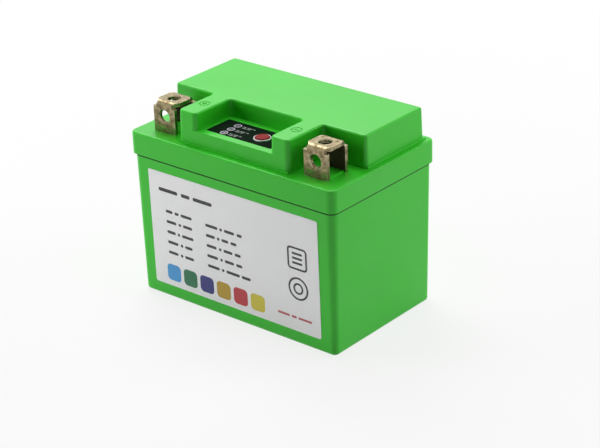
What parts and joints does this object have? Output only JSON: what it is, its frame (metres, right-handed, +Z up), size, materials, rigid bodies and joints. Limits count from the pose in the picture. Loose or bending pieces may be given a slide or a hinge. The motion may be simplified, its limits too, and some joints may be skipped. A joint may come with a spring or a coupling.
{
  "type": "motorcycle battery",
  "caption": "Small box-shaped motorcycle starter battery: green two-piece shell, stepped lid with two bent sheet terminals, recessed charge indicator and test button.",
  "frame": {"origin": "middle of the flat base of the case", "axes": "+X to the right along the label face, with the positive terminal at -X; +Y to the back, away from the terminals; +Z up"},
  "size_m": [0.114, 0.0706, 0.0917],
  "materials": {
    "shell_green": "satin moulded plastic",
    "label_vinyl": "satin vinyl sticker",
    "terminal_brass": "yellow-passivated sheet",
    "overlay_black": "satin film",
    "window_clear": "frosted clear",
    "bezel_white": "gloss",
    "button_red": "satin",
    "moulded_black": "matt",
    "circuit_board": "solder mask",
    "lamp_white": "clear lens",
    "screw_steel": "zinc plated",
    "wire_black": "insulation",
    "wire_red": "insulation",
    "cell_steel": "nickel-plated can",
    "sleeve_blue": "shrink film",
    "ring_white": "paper ring",
    "holder_black": "moulded",
    "busbar_nickel": "nickel strip",
    "strap_copper": "copper",
    "fish_paper": "fibre sheet",
    "foam_grey": "closed-cell foam",
    "connector_white": "nylon"
  },
  "bodies": {
    "battery": {"balance_board": "circuit_board", "balance_board_screws": "screw_steel", "balance_controller": "moulded_black", "balance_header": "connector_white", "balance_plug": "connector_white", "balance_transistors": "moulded_black", "balance_wires": "wire_red", "bleed_resistors": "moulded_black", "bottom_pad": "foam_grey", "button_bezel": "bezel_white", "case": "shell_green", "cell_1": "cell_steel", "cell_2": "cell_steel", "cell_3": "cell_steel", "cell_4": "cell_steel", "cell_rings": "ring_white", "cell_sleeves": "sleeve_blue", "front_label": "label_vinyl", "front_pad": "foam_grey", "indicator_board": "circuit_board", "indicator_leds": "lamp_white", "indicator_overlay": "overlay_black", "indicator_screws": "screw_steel", "indicator_wires": "wire_black", "insulating_sheet": "fish_paper", "left_end_foam": "foam_grey", "left_lower_busbar": "busbar_nickel", "lid": "shell_green", "light_pipes": "window_clear", "lower_cell_holder": "holder_black", "negative_strap": "strap_copper", "negative_terminal": "terminal_brass", "positive_strap": "strap_copper", "positive_terminal": "terminal_brass", "rear_pad": "foam_grey", "right_end_foam": "foam_grey", "right_lower_busbar": "busbar_nickel", "strap_rivets": "strap_copper", "tact_switch": "moulded_black", "upper_busbar": "busbar_nickel", "upper_cell_holder": "holder_black"},
    "button": {"test_button": "button_red", "switch_plunger": "moulded_black"}
  },
  "joints": [
    {"name": "test_button_press", "type": "slide", "parent": "battery", "child": "button", "axis": [0, 0, -1], "range_m": [0, 0.0004], "stiffness_N_per_m": 4000, "springref_m": -0.00005}
  ]
}
